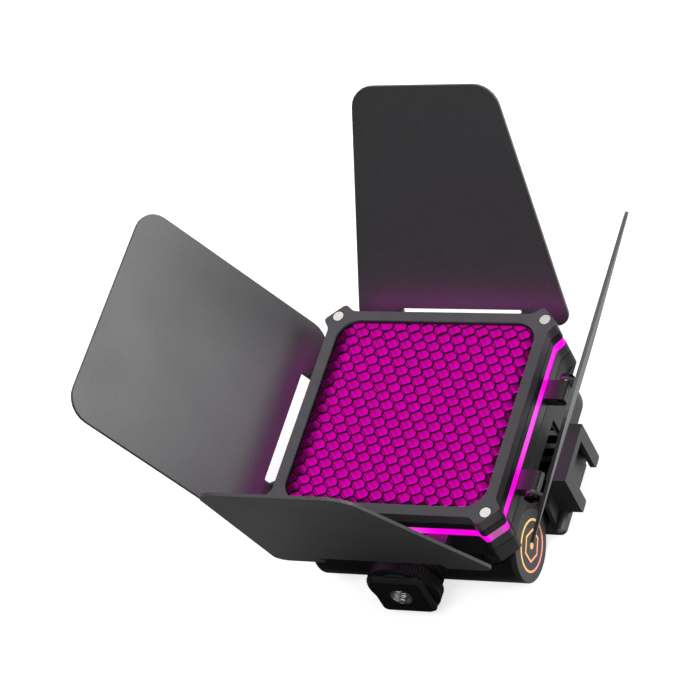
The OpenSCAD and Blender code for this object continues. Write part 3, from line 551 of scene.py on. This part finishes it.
def make_honeycomb():
    """The film as one closed mesh: a plate with every cell cut through it."""
    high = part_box("honeycomb_core")[1]
    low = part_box("retaining_ring")[1] + Vector((0.0, 0.0, FILM_CLEARANCE))
    reach = high.x
    outer = rounded_outline(reach, OPEN_RADIUS)
    border = rounded_outline(reach - FILM_EDGE, OPEN_RADIUS - FILM_EDGE)
    cells = []
    for outline in lattice_cells(reach):
        cell = cut_to(outline, border)
        if cell and area(cell) > SMALLEST_CELL:
            cells.append(cell)
    points, loops = list(outer), [list(range(len(outer)))]
    for cell in cells:
        loops.append(list(range(len(points), len(points) + len(cell))))
        points += cell
    edges = [(a, b) for loop in loops for a, b in zip(loop, loop[1:] + loop[:1])]
    # Worked out in millimetres; a face that lies in the outer outline alone, number 0, is film
    per_metre = 1000.0
    flat = [p * per_metre for p in points]
    verts, _, faces, _, _, face_origins = delaunay_2d_cdt(flat, edges, loops, 0, 1e-6)
    mesh = bmesh.new()
    tops = [mesh.verts.new((v.x / per_metre, v.y / per_metre, high.z)) for v in verts]
    bottoms = [mesh.verts.new((v.x / per_metre, v.y / per_metre, low.z)) for v in verts]
    for face, origins in zip(faces, face_origins):
        if list(origins) == [0]:
            mesh.faces.new([tops[i] for i in face])
            mesh.faces.new([bottoms[i] for i in reversed(face)])
    rim = [edge for edge in mesh.edges if edge.is_boundary and edge.verts[0].co.z > (low.z + high.z) / 2]
    under = dict(zip(tops, bottoms))
    for edge in rim:
        first = next(loop.vert for loop in edge.link_faces[0].loops if loop.edge == edge)
        second = edge.other_vert(first)
        mesh.faces.new((second, first, under[first], under[second]))
    loose = [v for v in mesh.verts if not v.link_faces]
    bmesh.ops.delete(mesh, geom=loose, context="VERTS")
    data = bpy.data.meshes.new("honeycomb_film")
    mesh.to_mesh(data)
    mesh.free()
    piece = bpy.data.objects.new("honeycomb_film", data)
    bpy.context.scene.collection.objects.link(piece)
    data.materials.append(film("film_black", high.z, low.z))
    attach(piece, "grid")
    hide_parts("honeycomb_core")


# ---------- thread in the foot ----------

THREAD_MINOR = 2.6 * MM
THREAD_MAJOR = 3.175 * MM
THREAD_PITCH = 1.27 * MM
MOUTH_BEVEL = 0.35 * MM
OUTER_BEVEL = 0.1 * MM
THREAD_COLUMNS, THREAD_ROWS = 72, 60


def make_thread():
    """The steel bush with its helical thread, open at both ends, as one closed mesh."""
    low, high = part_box("thread_insert")
    axis_x, axis_z = (low.x + high.x) / 2, (low.z + high.z) / 2
    outer_r = (high.x - low.x) / 2
    mesh = bmesh.new()

    def ring(radius_at, y):
        angles = [2 * math.pi * i / THREAD_COLUMNS for i in range(THREAD_COLUMNS)]
        return [mesh.verts.new((axis_x + radius_at(a) * math.cos(a), y,
                                axis_z + radius_at(a) * math.sin(a))) for a in angles]

    def inner(y):
        mouth = THREAD_MAJOR + MOUTH_BEVEL - (y - low.y)

        def radius(a):
            turn = ((y - low.y) / THREAD_PITCH + a / (2 * math.pi)) % 1.0
            depth = 1.0 - abs(2 * turn - 1.0)
            return max(THREAD_MINOR + (THREAD_MAJOR - THREAD_MINOR) * depth, mouth)
        return radius

    loops = [ring(lambda a: outer_r, high.y), ring(lambda a: outer_r, low.y + OUTER_BEVEL),
             ring(lambda a: outer_r - OUTER_BEVEL, low.y)]
    heights = [low.y + (high.y - low.y) * i / THREAD_ROWS for i in range(THREAD_ROWS + 1)]
    loops += [ring(inner(y), y) for y in heights]
    for near, far in zip(loops, loops[1:] + loops[:1]):
        for i in range(THREAD_COLUMNS):
            j = (i + 1) % THREAD_COLUMNS
            mesh.faces.new((near[i], near[j], far[j], far[i]))
    bmesh.ops.recalc_face_normals(mesh, faces=mesh.faces)
    data = bpy.data.meshes.new("thread_coil")
    mesh.to_mesh(data)
    mesh.free()
    piece = bpy.data.objects.new("thread_coil", data)
    bpy.context.scene.collection.objects.link(piece)
    data.materials.append(turned_metal("thread_steel", (0.5, 0.49, 0.48), roughness=0.2))
    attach(piece, "foot")
    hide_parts("thread_insert")


# ---------- stage, light and camera ----------

CAMERA_AZIMUTH = 40.9
CAMERA_ELEVATION = 46.7
CAMERA_DISTANCE = 1.055
CAMERA_TARGET = Vector((-16.3, 9.9, 31.3)) * MM
CAMERA_UP = Vector((-0.019, 0.809, 0.587))
CAMERA_LENS = 180.0
SENSOR = 36.0
CAMERA_NEAR, CAMERA_FAR = 0.01, 20.0
# The studio is white towards the bright side and dark away from it
BRIGHT_SIDE = Vector((0.45, 0.85, 0.27))
WHITE_FROM, DARK_LEVEL = 0.36, 0.04
WORLD_DARKEST, FLOOR_DARKEST = -0.55, -0.95
# The floor as reflections see it: a painted shadow, darker close to the part's lower side
SHADOW_CENTRE = Vector((-5.0, -35.0, 0.0)) * MM
SHADOW_INNER, SHADOW_OUTER, SHADOW_LEVEL = 15 * MM, 62 * MM, 0.12
FLOOR_SEEN = 0.7
FLOOR_GAP = 0.3 * MM
FLOOR_SIDES = 64
# Radius and height of the floor's rings, in metres
FLOOR_RINGS = ((0.6, 0.0), (1.4, 0.0), (1.8, 0.05), (2.2, 0.2), (2.5, 0.5), (2.7, 1.0))
# Azimuth, elevation, distance, diameter and power of each lamp
LAMPS = {"front_top": (0.0, 62.0, 1.6, 1.2, 15.0), "right_side": (120.0, 9.0, 1.5, 1.2, 34.0)}
LAMP_AIM = Vector((0.0, 0.0, 0.02))


def direction(azimuth, elevation):
    """Unit vector towards a point seen at that azimuth and elevation; azimuth 0 is -Y, 90 is +X."""
    a, e = math.radians(azimuth), math.radians(elevation)
    return Vector((math.sin(a) * math.cos(e), -math.cos(a) * math.cos(e), math.sin(e)))


def make_camera():
    data = bpy.data.cameras.new("camera")
    data.lens = CAMERA_LENS
    data.sensor_width = SENSOR
    data.clip_start = CAMERA_NEAR
    data.clip_end = CAMERA_FAR
    camera = bpy.data.objects.new("camera", data)
    back = direction(CAMERA_AZIMUTH, CAMERA_ELEVATION)
    up = (CAMERA_UP - back * CAMERA_UP.dot(back)).normalized()
    right = up.cross(back)
    turn = Matrix((right, up, back)).transposed().to_4x4()
    camera.matrix_world = Matrix.Translation(CAMERA_TARGET + back * CAMERA_DISTANCE) @ turn
    bpy.context.scene.collection.objects.link(camera)
    bpy.context.scene.camera = camera


def make_lamp(name, azimuth, elevation, distance, size, power):
    data = bpy.data.lights.new(name, "AREA")
    data.shape = "DISK"
    data.size = size
    data.energy = power
    lamp = bpy.data.objects.new(name, data)
    aim = direction(azimuth, elevation)
    lamp.location = LAMP_AIM + aim * distance
    lamp.rotation_mode = "QUATERNION"
    lamp.rotation_quaternion = aim.to_track_quat("Z", "Y")
    bpy.context.scene.collection.objects.link(lamp)


def studio(tree, towards, sign, darkest):
    """Brightness of the studio along the direction towards, times sign: from dark to white."""
    dot = tree.nodes.new("ShaderNodeVectorMath")
    dot.operation = "DOT_PRODUCT"
    dot.inputs[1].default_value = BRIGHT_SIDE.normalized() * sign
    tree.links.new(towards, dot.inputs[0])
    ramp = tree.nodes.new("ShaderNodeMapRange")
    ramp.interpolation_type = "SMOOTHSTEP"
    for key, value in zip(RANGE_SOCKETS[1:], (darkest, WHITE_FROM, DARK_LEVEL, 1.0)):
        ramp.inputs[key].default_value = value
    tree.links.new(dot.outputs["Value"], ramp.inputs["Value"])
    return ramp.outputs[0]


def make_floor():
    """A pale round floor just under the part, turned up into a soft sweep far away."""
    mesh = bmesh.new()
    loops = []
    for radius, height in FLOOR_RINGS:
        angles = [2 * math.pi * i / FLOOR_SIDES for i in range(FLOOR_SIDES)]
        loops.append([mesh.verts.new((radius * math.cos(a), radius * math.sin(a), height)) for a in angles])
    mesh.faces.new(loops[0])
    for inner, outer in zip(loops, loops[1:]):
        for i in range(FLOOR_SIDES):
            j = (i + 1) % FLOOR_SIDES
            mesh.faces.new((inner[j], inner[i], outer[i], outer[j]))
    data = bpy.data.meshes.new("floor")
    mesh.to_mesh(data)
    mesh.free()
    for polygon in data.polygons:
        polygon.use_smooth = True
    floor = bpy.data.objects.new("floor", data)
    floor.location = (0.0, 0.0, CAD_BOX[0].z - FLOOR_GAP)
    bpy.context.scene.collection.objects.link(floor)
    r = Recipe("floor_paper", roughness=0.9, specular_ior_level=0.0)
    fibre = r.noise(2.0, detail=3.0)
    to_camera = r.for_camera()
    # Seen by the camera the floor is pale paper with an even glow; every other ray sees no colour, only its
    # painted glow
    r.put("Base Color", r.blend(to_camera, 0.0, r.blend(fibre, 0.48, 0.52)))
    r.put("Emission Color", 1.0)
    away = r.add("ShaderNodeVectorMath", operation="DISTANCE")
    r.feed(away.inputs[0], r.coords)
    away.inputs[1].default_value = SHADOW_CENTRE
    shaded = r.remap(away.outputs["Value"], SHADOW_INNER, SHADOW_OUTER, SHADOW_LEVEL, 1.0, smooth=True)
    # Painted reflection: rays other than the camera's see the floor glow brighter towards the bright side,
    # with the painted shadow near the part
    painted_reflection = r.math("MULTIPLY", studio(r.tree, r.geometry("Incoming"), -1.0, FLOOR_DARKEST), shaded)
    r.put("Emission Strength", r.remap(to_camera, 0.0, 1.0, painted_reflection, FLOOR_SEEN))
    data.materials.append(r.material)


def make_world():
    """The studio round the part."""
    world = bpy.data.worlds.new("studio")
    bpy.context.scene.world = world
    world.use_nodes = True
    tree = world.node_tree
    coords = tree.nodes.new("ShaderNodeTexCoord")
    background = tree.nodes["Background"]
    level = studio(tree, coords.outputs["Generated"], 1.0, WORLD_DARKEST)
    tree.links.new(level, background.inputs["Strength"])
    background.inputs["Color"].default_value = rgba(1.0)


dress_nodes()
make_honeycomb()
make_thread()
make_floor()
make_world()
for lamp_name, setting in LAMPS.items():
    make_lamp(lamp_name, *setting)
make_camera()
bpy.context.scene.view_settings.view_transform = "Standard"
